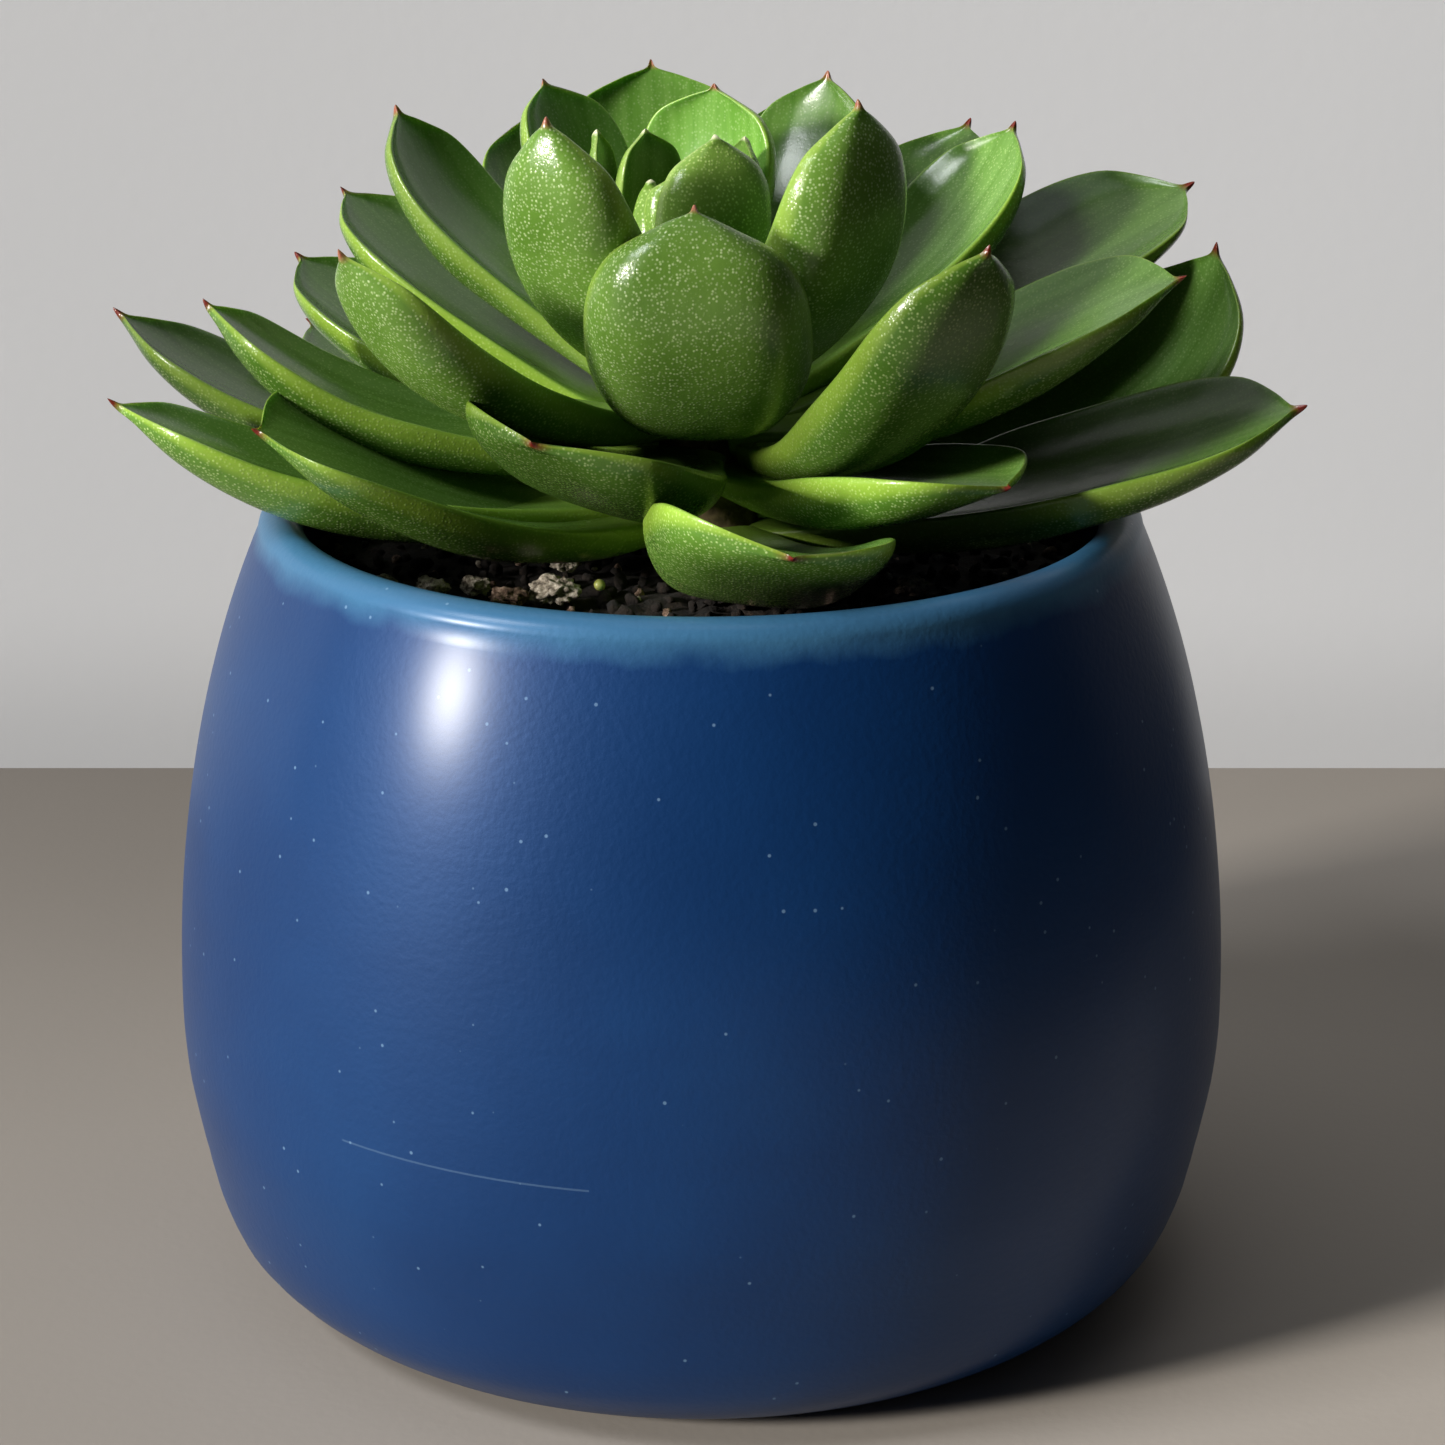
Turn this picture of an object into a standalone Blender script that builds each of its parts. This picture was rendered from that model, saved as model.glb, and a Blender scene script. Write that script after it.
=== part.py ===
"""A potted succulent: a rosette of fleshy leaves on a short stem, in soil, in an egg-shaped pot.

The origin is the middle of the pot's flat underside, +Z is up, and -Y is the front.
Lengths are written in millimetres and turned into metres by MM.
"""

import math

import bmesh
import bpy
from mathutils import Vector, noise

MM = 0.001
GAP = 0.3 * MM  # clear space between two pieces that lie against each other

# The pot: an egg of revolution, cut off flat below and open above.
POT_HEIGHT = 89.5 * MM
POT_RADIUS = 60 * MM  # at its widest
POT_WIDEST_AT = 31.5 * MM  # height of the widest place
POT_UPPER_REACH = 96.5 * MM  # half height of the ellipse that the upper wall follows
POT_LOWER_REACH = 61 * MM  # and of the one that the lower wall follows
POT_WALL = 5 * MM
POT_FLOOR = 7 * MM
POT_FOOT_ROUNDING = 15 * MM
POT_HOLLOW_ROUNDING = 10 * MM  # a chamfer inside, between the wall and the floor
POT_STEPS = 48

# The soil fills the pot to a little below its lip, with its middle slightly heaped.
SOIL_EDGE = 80.5 * MM
SOIL_MIDDLE = 81.5 * MM

# The stem leans a little, so that the heart of the rosette sits left of the pot's axis.
STEM_FOOT = Vector((4, 0, 72)) * MM
STEM_TOP = Vector((-3, 1, 112)) * MM
STEM_FOOT_RADIUS = 6.5 * MM
STEM_TOP_RADIUS = 4 * MM
LEAF_ROOT_RADIUS = 4.5 * MM  # distance from the stem's axis at which a leaf begins

# A leaf's cross-section is a lens: most of its thickness hangs below its midrib, and its margins rise.
LEAF_SIDES = 8
LEAF_RINGS = 8
FOOT_SHARE = 0.40  # width of a leaf's foot, as a share of its full width
BELLY_SHARE = 0.76  # share of the thickness that lies under the midrib
SECTION_POWER = 0.8  # 1 makes the section an ellipse, and less makes its margins fuller
MARGIN_RISE = 0.22  # rise of the margins, as a share of half the width
TIP_MOST = 0.25 * MM  # half the width of the tip

# Leaves from the heart outwards. Turn, in degrees from +X, and reach and top, in mm, say where the tip
# is. Foot is the height at which the leaf leaves the stem. Rise and curl are the slopes of the midrib at
# its foot and its tip, width and thick are the leaf's largest, full is the place of its largest width as
# a share of its length, and roll turns its section about the midrib.
LEAVES = (
    dict(turn=-165, reach=5.5, top=125, foot=113, rise=75, curl=85, width=4, thick=2),
    dict(turn=20, reach=4, top=126, foot=113, rise=75, curl=85, width=5, thick=2),
    dict(turn=-120, reach=6, top=126, foot=112, rise=70, curl=88, width=6, thick=2.5),
    dict(turn=143, reach=7.5, top=129.5, foot=110, rise=60, curl=80, width=9, thick=3),
    dict(turn=50, reach=7.5, top=128.5, foot=110, rise=55, curl=85, width=7, thick=3),
    dict(turn=-80, reach=9, top=131, foot=110, rise=45, curl=110, width=13, thick=4, full=0.55),
    dict(turn=160, reach=12, top=129.5, foot=110, rise=45, curl=80, width=6, thick=2.5),
    dict(turn=84, reach=14, top=133, foot=107, rise=50, curl=95, width=17, thick=5),
    dict(turn=140, reach=23, top=133.5, foot=105, rise=50, curl=62, width=15, thick=4.5),
    dict(turn=-124, reach=27.5, top=135, foot=104, rise=35, curl=85, width=16, thick=6, full=0.5),
    dict(turn=-47.5, reach=24, top=136, foot=103, rise=30, curl=95, width=17, thick=6.5, full=0.6),
    dict(turn=-91, reach=25, top=126.5, foot=101, rise=0, curl=112, width=24, thick=6.5, full=0.5, aside=2),
    dict(turn=59, reach=28, top=133, foot=102, rise=45, curl=75, width=16, thick=5),
    dict(turn=101, reach=31, top=133.5, foot=101, rise=45, curl=75, width=22, thick=5),
    dict(turn=152, reach=39, top=130, foot=100, rise=40, curl=70, width=17, thick=4.5),
    dict(turn=-140, reach=47, top=123, foot=99, rise=8, curl=58, width=15, thick=5.5),
    dict(turn=70, reach=40, top=130, foot=98, rise=35, curl=65, width=18, thick=5),
    dict(turn=32.5, reach=42.5, top=127.5, foot=98, rise=30, curl=62, width=19, thick=5),
    dict(turn=-49, reach=44, top=124, foot=96, rise=2, curl=62, width=18, thick=6, full=0.6, aside=4),
    dict(turn=-176, reach=54, top=112.5, foot=96, rise=-5, curl=50, width=19, thick=5),
    dict(turn=151, reach=47.5, top=120, foot=96, rise=25, curl=40, width=20, thick=5),
    dict(turn=115, reach=49, top=126, foot=96, rise=30, curl=60, width=20, thick=5),
    dict(turn=84, reach=50, top=124, foot=95, rise=28, curl=55, width=20, thick=5),
    dict(turn=22, reach=61, top=120.5, foot=97, rise=20, curl=25, width=22, thick=5, full=0.72, roll=14),
    dict(turn=-15, reach=53, top=117, foot=97, rise=5, curl=25, width=22, thick=5.5, full=0.66, roll=14),
    dict(turn=50, reach=49.5, top=125.5, foot=94, rise=30, curl=50, width=20, thick=5),
    dict(turn=-114, reach=41, top=105, foot=95, rise=0, curl=25, width=26, thick=6,
         full=0.62, roll=-10, blunt=0.6),
    dict(turn=-40, reach=42, top=97.5, foot=93, rise=-2, curl=5, width=20, thick=6, full=0.7, blunt=0.6),
    dict(turn=150, reach=55, top=111.5, foot=92, rise=15, curl=35, width=23, thick=5),
    dict(turn=128, reach=55, top=116, foot=92, rise=20, curl=42, width=20, thick=5),
    dict(turn=171, reach=67, top=108.5, foot=92, rise=0, curl=40, width=18, thick=5),
    dict(turn=10, reach=58.5, top=116, foot=89, rise=0, curl=85, width=21, thick=5, full=0.68, roll=28),
    dict(turn=-157, reach=51, top=102, foot=88.5, rise=-8, curl=22, width=23, thick=6,
         full=0.74, roll=-12, blunt=0.7),
    dict(turn=-167, reach=64.5, top=104, foot=89.5, rise=-2, curl=36, width=20, thick=5.5),
    dict(turn=108, reach=61, top=108, foot=88, rise=12, curl=35, width=21, thick=6),
    dict(turn=78, reach=63, top=107, foot=87, rise=12, curl=35, width=21, thick=6),
    dict(turn=48, reach=61, top=106, foot=87, rise=12, curl=35, width=21, thick=6),
    dict(turn=140, reach=63, top=101, foot=87.5, rise=14, curl=30, width=20, thick=6),
    dict(turn=-12, reach=66, top=103, foot=86, rise=8, curl=22, width=23, thick=6, full=0.72, roll=12),
    dict(turn=-79, reach=49, top=96, foot=86, rise=-5, curl=5, width=25, thick=7,
         full=0.6, roll=-11, blunt=0.8),
)
HEART_LEAVES = 7
INNER_LEAVES = 17

# Crumbs of pale bark and pumice on the soil: where each lies, across and forwards, and its radius.
CRUMBS = (
    dict(across=-34.5, forwards=9.5, radius=1.1),
    dict(across=-29, forwards=13, radius=1.5),
    dict(across=-24.5, forwards=12, radius=1.3),
    dict(across=-20.5, forwards=17.5, radius=1.6),
    dict(across=-16, forwards=16, radius=1.9),
    dict(across=-15, forwards=4, radius=1.2),
    dict(across=23, forwards=13, radius=1.4),
)
BEAD = dict(across=-11, forwards=11, radius=0.8)


def clear_scene():
    for old in list(bpy.data.objects):
        bpy.data.objects.remove(old)


def material(name, colour, roughness):
    made = bpy.data.materials.new(name)
    made.use_nodes = True
    shader = made.node_tree.nodes["Principled BSDF"]
    shader.inputs["Base Color"].default_value = (*colour, 1)
    shader.inputs["Roughness"].default_value = roughness
    shader.inputs["Metallic"].default_value = 0
    return made


def face_outwards(bm):
    bmesh.ops.recalc_face_normals(bm, faces=bm.faces)
    if bm.calc_volume(signed=True) < 0:
        bmesh.ops.reverse_faces(bm, faces=bm.faces)
    bm.normal_update()


def object_of(bm, name, finish):
    """A smooth-shaded object made from the bmesh, which this frees."""
    face_outwards(bm)
    mesh = bpy.data.meshes.new(name)
    bm.to_mesh(mesh)
    bm.free()
    mesh.materials.append(finish)
    mesh.shade_smooth()
    mesh.set_sharp_from_angle(angle=math.radians(50))
    made = bpy.data.objects.new(name, mesh)
    bpy.context.scene.collection.objects.link(made)
    return made


def turned(outline, name, finish, steps):
    """A closed body turned about Z from an outline of (radius, height) that starts and ends on the axis."""
    bm = bmesh.new()
    verts = [bm.verts.new((radius, 0, height)) for radius, height in outline]
    edges = [bm.edges.new(pair) for pair in zip(verts, verts[1:])]
    bmesh.ops.spin(
        bm, geom=verts + edges, cent=(0, 0, 0), axis=(0, 0, 1), angle=math.tau, steps=steps, use_merge=True
    )
    bmesh.ops.remove_doubles(bm, verts=bm.verts, dist=0.001 * MM)
    return object_of(bm, name, finish)


def pot_radius(height):
    """Outer radius of the pot's wall at this height."""
    reach = POT_UPPER_REACH if height > POT_WIDEST_AT else POT_LOWER_REACH
    return POT_RADIUS * math.sqrt(1 - ((height - POT_WIDEST_AT) / reach) ** 2)


def steps_between(first, last, count):
    return [first + (last - first) * i / count for i in range(count + 1)]


def pot(finish):
    rounding = POT_FOOT_ROUNDING
    corner = pot_radius(rounding) - rounding
    foot = [
        (corner + rounding * math.sin(turn), rounding - rounding * math.cos(turn))
        for turn in steps_between(0, math.pi / 2, 6)
    ]
    half_wall = POT_WALL / 2
    wall_top = POT_HEIGHT - half_wall
    outside = [(pot_radius(z), z) for z in steps_between(rounding, wall_top, 9)[1:]]
    lip_middle = pot_radius(wall_top) - half_wall
    lip = [
        (lip_middle + half_wall * math.cos(turn), wall_top + half_wall * math.sin(turn))
        for turn in steps_between(0, math.pi, 6)[1:]
    ]
    hollow = POT_FLOOR + POT_HOLLOW_ROUNDING
    inside = [(pot_radius(z) - POT_WALL, z) for z in steps_between(wall_top, hollow, 7)[1:]]
    floor = [(inside[-1][0] - POT_HOLLOW_ROUNDING, POT_FLOOR), (0, POT_FLOOR)]
    outline = [(0, 0), *foot, *outside, *lip, *inside, *floor]
    return turned(outline, "pot", finish, POT_STEPS)


def soil_height(radius):
    """Height of the heaped soil at this distance from the pot's axis."""
    share = radius / (pot_radius(SOIL_EDGE) - POT_WALL)
    return SOIL_EDGE + (SOIL_MIDDLE - SOIL_EDGE) * math.cos(share * math.pi / 2)


def soil(finish):
    low = POT_FLOOR + 2 * GAP
    bottom = POT_FLOOR + POT_HOLLOW_ROUNDING
    side = [(pot_radius(z) - POT_WALL - 2 * GAP, z) for z in steps_between(bottom, SOIL_EDGE, 7)]
    edge = side[-1][0]
    top = [(radius, soil_height(radius)) for radius in steps_between(edge, 0, 6)[1:]]
    outline = [(0, low), (side[0][0] - POT_HOLLOW_ROUNDING, low), *side, *top]
    return turned(outline, "soil", finish, POT_STEPS)


def stem(name, finish, grown):
    """The leaning stem, a cone between its two ends, made larger all round by grown."""
    bm = bmesh.new()
    axis = STEM_TOP - STEM_FOOT
    bmesh.ops.create_cone(
        bm,
        cap_ends=True,
        segments=16,
        radius1=STEM_FOOT_RADIUS + grown,
        radius2=STEM_TOP_RADIUS + grown,
        depth=axis.length + 2 * grown,
    )
    made = object_of(bm, name, finish)
    made.location = (STEM_FOOT + STEM_TOP) / 2
    made.rotation_mode = "QUATERNION"
    made.rotation_quaternion = axis.to_track_quat("Z", "Y")
    return made


def stem_centre(height):
    share = (height - STEM_FOOT.z) / (STEM_TOP.z - STEM_FOOT.z)
    return STEM_FOOT.lerp(STEM_TOP, share)


def ease(low, high, value):
    """0 below low, 1 above high, and a smooth S between them."""
    share = min(max((value - low) / (high - low), 0), 1)
    return share * share * (3 - 2 * share)


class Midrib:
    """The curve that a leaf follows, a cubic Bezier from the stem to the tip."""

    def __init__(self, leaf):
        turn = math.radians(leaf["turn"])
        height = leaf["foot"] * MM
        axis = stem_centre(height) + Vector((leaf.get("aside", 0) * MM, 0, 0))
        self.tip = Vector((math.cos(turn), math.sin(turn), 0)) * leaf["reach"] * MM
        self.tip.z = leaf["top"] * MM
        out = self.tip - axis
        out.z = 0
        out.normalize()
        self.foot = axis + out * LEAF_ROOT_RADIUS
        reach = 0.38 * (self.tip - self.foot).length
        rise, curl = math.radians(leaf["rise"]), math.radians(leaf["curl"])
        self.after_foot = self.foot + reach * (out * math.cos(rise) + Vector((0, 0, math.sin(rise))))
        self.before_tip = self.tip - reach * (out * math.cos(curl) + Vector((0, 0, math.sin(curl))))
        self.side = Vector((-out.y, out.x, 0))

    def at(self, along):
        back = 1 - along
        return (
            self.foot * back**3
            + self.after_foot * 3 * back**2 * along
            + self.before_tip * 3 * back * along**2
            + self.tip * along**3
        )

    def upward(self, along):
        """The direction out of the leaf's upper face."""
        back = 1 - along
        heading = (
            (self.after_foot - self.foot) * back**2
            + (self.before_tip - self.after_foot) * 2 * back * along
            + (self.tip - self.before_tip) * along**2
        )
        return heading.normalized().cross(self.side)


def half_width(leaf, along):
    """Half the leaf's width: it swells from the foot, then runs in to a point, drawn out or blunt."""
    full, blunt = leaf.get("full", 0.68), leaf.get("blunt", 0)
    if along < full:
        share = FOOT_SHARE + (1 - FOOT_SHARE) * math.sin(along / full * math.pi / 2) ** 1.2
    else:
        past = (along - full) / (1 - full)
        share = max(1 - past ** (2.3 + 2 * blunt), 0) ** (0.62 - 0.2 * blunt)
        share *= 1 - 0.28 * (1 - blunt) * ease(0.6, 1, past)
    return max(share * leaf["width"] / 2 * MM, TIP_MOST)


def thickness(leaf, along):
    swelling = 0.6 + 0.4 * math.sin(min(along / 0.5, 1) * math.pi / 2)
    thinning = max(1 - max(along - 0.5, 0) / 0.5 * max(along - 0.5, 0) / 0.5, 0) ** 0.75
    return max(swelling * thinning * leaf["thick"] * MM, TIP_MOST)


def leaf_point(leaf, midrib, along, around):
    """A point of the leaf's skin: along runs from foot to tip, around is the angle in its section."""
    wide = half_width(leaf, along)
    deep = thickness(leaf, along)
    cosine, sine = math.cos(around), math.sin(around)
    across = wide * math.copysign(abs(cosine) ** SECTION_POWER, cosine)
    share = 1 - BELLY_SHARE if sine > 0 else BELLY_SHARE
    opened = ease(0, 0.5, along)
    up = share * deep * math.copysign(abs(sine) ** SECTION_POWER, sine)
    up += MARGIN_RISE * opened * wide * cosine**2
    roll = math.radians(leaf.get("roll", 0)) * opened
    turned_across = across * math.cos(roll) - up * math.sin(roll)
    turned_up = across * math.sin(roll) + up * math.cos(roll)
    return midrib.at(along) + midrib.side * turned_across + midrib.upward(along) * turned_up


def leaf_body(leaf, name, finish, grown):
    """A leaf bent out of a sphere whose poles are its foot and its tip, made larger all round by grown."""
    midrib = Midrib(leaf)
    bm = bmesh.new()
    bmesh.ops.create_uvsphere(bm, u_segments=LEAF_SIDES, v_segments=LEAF_RINGS, radius=1)
    for vert in bm.verts:
        along = (1 - vert.co.z) / 2
        if abs(vert.co.z) > 0.999:
            vert.co = midrib.at(along)
        else:
            vert.co = leaf_point(leaf, midrib, along, math.atan2(vert.co.y, vert.co.x))
    face_outwards(bm)
    for vert in bm.verts:
        vert.co += vert.normal * grown
    return object_of(bm, name, finish)


def crumb(place, name, finish, roughness):
    """A lump of soil or bark: a small ball with an uneven, flattened skin, lying on the soil."""
    bm = bmesh.new()
    radius = place["radius"] * MM
    bmesh.ops.create_icosphere(bm, subdivisions=2, radius=radius)
    seed = Vector((place["across"], place["forwards"], 0))
    for vert in bm.verts:
        swell = 1 + roughness * noise.noise(vert.co / radius * 1.3 + seed)
        vert.co = Vector((vert.co.x * 1.25, vert.co.y, vert.co.z * 0.8)) * swell
    lowest = min(vert.co.z for vert in bm.verts)
    made = object_of(bm, name, finish)
    across, forwards = place["across"] * MM, place["forwards"] * MM
    ground = soil_height(max(math.hypot(across, forwards) - radius, 0))
    made.location = (across, -forwards, ground + GAP - lowest)
    return made


def box_of(obj):
    corners = [obj.matrix_world @ vert.co for vert in obj.data.vertices]
    return [(min(c[axis] for c in corners), max(c[axis] for c in corners)) for axis in range(3)]


def boxes_meet(first, second):
    return all(a[0] < b[1] and b[0] < a[1] for a, b in zip(first, second))


def cutter(obj):
    obj.hide_render = True
    obj.display_type = "WIRE"
    return obj


def carve(obj, cutters):
    """Cuts obj back from every cutter that it may touch, and keeps the largest body that is left."""
    own_box = box_of(obj)
    for tool in cutters:
        if boxes_meet(own_box, box_of(tool)):
            cut = obj.modifiers.new(tool.name, "BOOLEAN")
            cut.operation = "DIFFERENCE"
            cut.solver = "EXACT"
            cut.object = tool
    graph = bpy.context.evaluated_depsgraph_get()
    carved = bpy.data.meshes.new_from_object(obj.evaluated_get(graph))
    obj.modifiers.clear()
    bm = bmesh.new()
    bm.from_mesh(carved)
    bpy.data.meshes.remove(carved)
    bmesh.ops.remove_doubles(bm, verts=bm.verts, dist=0.02 * MM)
    bodies = separate_bodies(bm)
    crumbs = [face for body in bodies[1:] for face in body]
    bmesh.ops.delete(bm, geom=crumbs, context="FACES")
    bmesh.ops.triangulate(bm, faces=bm.faces)
    bm.to_mesh(obj.data)
    bm.free()
    obj.data.shade_smooth()
    obj.data.set_sharp_from_angle(angle=math.radians(50))


def separate_bodies(bm):
    """The faces of each connected body, largest surface first."""
    waiting = set(bm.faces)
    bodies = []
    while waiting:
        front = [waiting.pop()]
        body = []
        while front:
            face = front.pop()
            body.append(face)
            for edge in face.edges:
                for near in edge.link_faces:
                    if near in waiting:
                        waiting.remove(near)
                        front.append(near)
        bodies.append(body)
    return sorted(bodies, key=lambda faces: -sum(face.calc_area() for face in faces))


def main():
    clear_scene()
    clay = material("blue_matte_clay", (0.035, 0.085, 0.19), 0.55)
    earth = material("potting_soil", (0.022, 0.016, 0.012), 0.95)
    bark = material("pale_crumb", (0.36, 0.31, 0.25), 0.95)
    wax = material("fertiliser_wax", (0.42, 0.45, 0.08), 0.4)
    cork = material("stem_cork", (0.11, 0.09, 0.05), 0.85)
    flesh = {
        "heart": material("heart_leaf_flesh", (0.19, 0.33, 0.08), 0.4),
        "inner": material("inner_leaf_flesh", (0.10, 0.22, 0.05), 0.38),
        "outer": material("outer_leaf_flesh", (0.07, 0.15, 0.035), 0.38),
    }

    pot(clay)
    earth_body = soil(earth)
    stem("stem", cork, 0)
    stem_cutter = cutter(stem("stem_clearance", cork, 2 * GAP))
    bpy.context.view_layer.update()
    carve(earth_body, [stem_cutter])

    cutters = [stem_cutter]
    for number, leaf in enumerate(LEAVES, 1):
        zone = "heart" if number <= HEART_LEAVES else "inner" if number <= INNER_LEAVES else "outer"
        body = leaf_body(leaf, f"leaf_{number:02d}", flesh[zone], 0)
        bpy.context.view_layer.update()
        carve(body, cutters)
        cutters.append(cutter(leaf_body(leaf, f"leaf_{number:02d}_clearance", flesh[zone], 1.5 * GAP)))

    for number, place in enumerate(CRUMBS, 1):
        crumb(place, f"soil_crumb_{number}", bark, 0.45)
    crumb(BEAD, "fertiliser_bead", wax, 0)


main()
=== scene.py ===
# %% [markdown]
# # A potted succulent
# A rosette of fleshy, pointed leaves grows on a short stem in an egg-shaped pot. The solids that carry
# its size and its collision are loaded first. The fine pieces built here then take their places: turned
# pottery, heaped soil with crumbs, and leaves with a waxy, dotted skin.

import math

import bmesh
import bpy
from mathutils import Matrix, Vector, noise


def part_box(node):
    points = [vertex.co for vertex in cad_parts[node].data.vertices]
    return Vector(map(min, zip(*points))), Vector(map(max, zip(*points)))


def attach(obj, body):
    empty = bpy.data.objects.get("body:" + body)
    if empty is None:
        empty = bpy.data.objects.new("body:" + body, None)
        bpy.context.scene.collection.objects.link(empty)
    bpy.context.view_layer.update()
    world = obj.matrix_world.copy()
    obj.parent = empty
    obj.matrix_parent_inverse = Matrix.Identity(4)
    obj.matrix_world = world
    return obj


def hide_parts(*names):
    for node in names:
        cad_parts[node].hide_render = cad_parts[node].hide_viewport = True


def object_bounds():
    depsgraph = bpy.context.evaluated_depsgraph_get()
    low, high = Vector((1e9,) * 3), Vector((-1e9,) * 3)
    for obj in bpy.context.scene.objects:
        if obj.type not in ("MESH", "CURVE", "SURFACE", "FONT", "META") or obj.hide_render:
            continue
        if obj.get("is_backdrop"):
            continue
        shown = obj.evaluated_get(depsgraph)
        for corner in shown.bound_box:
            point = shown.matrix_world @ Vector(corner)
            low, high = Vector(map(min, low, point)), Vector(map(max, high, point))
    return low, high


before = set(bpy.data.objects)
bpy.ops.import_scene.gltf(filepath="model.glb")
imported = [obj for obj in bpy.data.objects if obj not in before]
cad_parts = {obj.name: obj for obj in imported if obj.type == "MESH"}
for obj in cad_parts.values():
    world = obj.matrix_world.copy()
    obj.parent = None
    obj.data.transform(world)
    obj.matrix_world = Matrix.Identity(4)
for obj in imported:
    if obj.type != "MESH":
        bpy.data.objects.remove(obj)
CAD_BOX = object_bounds()
MM = 0.001
print("frame loaded,", len(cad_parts), "nodes")

# %% [markdown]
# ## Small helpers
# Colours are chosen as sRGB hex values, the way a paint or screen colour is written down, and Blender
# wants them linear, so one function turns them. One more adds a shader node with its settings and its
# links. A last one turns a bmesh into a finished piece that rides on the only body and, where it
# stands for a solid, takes that solid's place.

# %% Helpers for colours, nodes and pieces
def linear(hex_colour):
    """A linear RGBA colour from an sRGB hex string such as #1c4572."""
    channels = [int(hex_colour[i:i + 2], 16) / 255 for i in (1, 3, 5)]
    return (*[c / 12.92 if c <= 0.04045 else ((c + 0.055) / 1.055) ** 2.4 for c in channels], 1)


def add_node(tree, kind, settings=None, **inputs):
    """Adds a node, sets its properties, and gives each named input a value or links it to a socket."""
    node = tree.nodes.new("ShaderNode" + kind)
    for key, value in (settings or {}).items():
        setattr(node, key, value)
    for key, value in inputs.items():
        socket = node.inputs[int(key[1:])] if key[0] == "i" and key[1:].isdigit() else node.inputs[
            key.replace("_", " ")]
        if isinstance(value, bpy.types.NodeSocket):
            tree.links.new(value, socket)
        else:
            socket.default_value = value
    return node


def new_material(name, **shader_values):
    """A material with its Principled shader's own sockets set, and its node tree."""
    made = bpy.data.materials.new(name)
    made.use_nodes = True
    shader = made.node_tree.nodes["Principled BSDF"]
    for key, value in shader_values.items():
        shader.inputs[key.replace("_", " ")].default_value = value
    return made, made.node_tree, shader


def ramp(tree, factor, *stops, ease="LINEAR"):
    """A colour ramp node: stops are (position, colour) with hex or grey-value colours."""
    node = add_node(tree, "ValToRGB", i0=factor)
    node.color_ramp.interpolation = ease
    elements = node.color_ramp.elements
    while len(elements) < len(stops):
        elements.new(0.5)
    for element, (position, value) in zip(elements, stops):
        element.position = position
        element.color = linear(value) if isinstance(value, str) else (value, value, value, 1)
    return node.outputs[0]


def mix_colour(tree, factor, first, second, blend="MIX"):
    """The socket of a colour mix; first and second are sockets or hex colours."""
    settings = dict(data_type="RGBA", blend_type=blend)
    first, second = (linear(c) if isinstance(c, str) else c for c in (first, second))
    return add_node(tree, "Mix", settings, i0=factor, i6=first, i7=second).outputs[2]


def math_node(tree, operation, first, second=0.0, clamp=False):
    return add_node(tree, "Math", dict(operation=operation, use_clamp=clamp), i0=first, i1=second).outputs[0]


def finish_piece(bm, name, material, replaced=(), levels=0):
    """A smooth object at the origin made from the bmesh, riding on the body, in the solids' place."""
    bmesh.ops.recalc_face_normals(bm, faces=bm.faces)
    mesh = bpy.data.meshes.new(name)
    bm.to_mesh(mesh)
    bm.free()
    mesh.materials.append(material)
    mesh.shade_smooth()
    piece = bpy.data.objects.new(name, mesh)
    bpy.context.scene.collection.objects.link(piece)
    if levels:
        subdivide = piece.modifiers.new("finer", "SUBSURF")
        subdivide.levels = subdivide.render_levels = levels
    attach(piece, "root")
    if replaced:
        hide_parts(*replaced)
    return piece


def steps_between(first, last, count):
    return [first + (last - first) * i / count for i in range(count + 1)]


def ease(low, high, value):
    """0 below low, 1 above high, and a smooth S between them."""
    share = min(max((value - low) / (high - low), 0), 1)
    return share * share * (3 - 2 * share)


# %% [markdown]
# ## The camera, the table and the wall
# The camera looks a little down on the pot with a short telephoto lens, which keeps the pot's sides
# nearly upright. A pale matt table runs back to a pale wall not far behind the pot. Both carry painted
# shade: the table darkens towards the wall and to the left, the wall darkens low down and to the left,
# and both go dark far to the right.

# %% Camera and stage
CAMERA_PLACE = Vector((2.4, -368, 188)) * MM
CAMERA_PITCH = 71.2
TABLE_DEPTH = 161 * MM

camera_data = bpy.data.cameras.new("camera")
camera_data.lens = 85
camera_data.sensor_width = 36
camera_data.clip_start = 0.01
camera = bpy.data.objects.new("camera", camera_data)
camera.location = CAMERA_PLACE
camera.rotation_euler = (math.radians(CAMERA_PITCH), 0, 0)
bpy.context.scene.collection.objects.link(camera)
bpy.context.scene.camera = camera


def painted_shade_ramp(tree, place, axis, first, last, share):
    """A grey value of painted shade that goes from 1 at the first place on an axis to the share at the last one."""
    along = add_node(tree, "SeparateXYZ", Vector=place).outputs[axis]
    settings = dict(interpolation_type="SMOOTHSTEP")
    return add_node(tree, "MapRange", settings, i0=along, i1=first, i2=last, i3=1.0, i4=share).outputs[0]


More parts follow.
